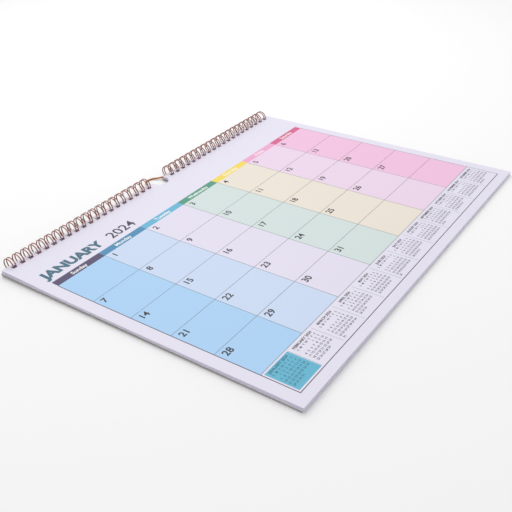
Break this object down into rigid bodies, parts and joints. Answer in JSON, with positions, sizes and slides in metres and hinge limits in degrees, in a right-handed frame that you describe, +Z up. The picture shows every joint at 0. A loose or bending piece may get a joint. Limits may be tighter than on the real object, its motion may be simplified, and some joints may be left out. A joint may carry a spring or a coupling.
{
  "type": "wall calendar",
  "caption": "Wire-bound wall calendar lying flat: a block of month leaves over a stiff board, held by two rows of twin wire loops, with a bent wire hanger at a thumb notch.",
  "frame": {"origin": "centre of the footprint, on the surface that the calendar lies on", "axes": "+X along the punched edge to the right of a reader of the page, +Y from the free edge to the punched edge, +Z up out of the printed page"},
  "size_m": [0.3746, 0.3063, 0.0131],
  "materials": {
    "leaves": "smooth matt printed card",
    "board": "grey chipboard",
    "loop_wire": "rose gold coated steel wire",
    "hanger_wire": "copper coated steel wire"
  },
  "bodies": {
    "backing": {"backing_board": "board", "wire_left": "loop_wire", "wire_right": "loop_wire"},
    "pages": {"page_block": "leaves"},
    "hanger": {"hanger": "hanger_wire"}
  },
  "joints": [
    {"name": "page_turn", "type": "hinge", "parent": "backing", "child": "pages", "pos_m": [0, 0.13935, 0.0066], "axis": [-1, 0, 0], "range_deg": [0, 195]},
    {"name": "hanger_swing", "type": "hinge", "parent": "backing", "child": "hanger", "pos_m": [0, 0.1415, 0.00248], "axis": [1, 0, 0], "range_deg": [0, 120]}
  ]
}
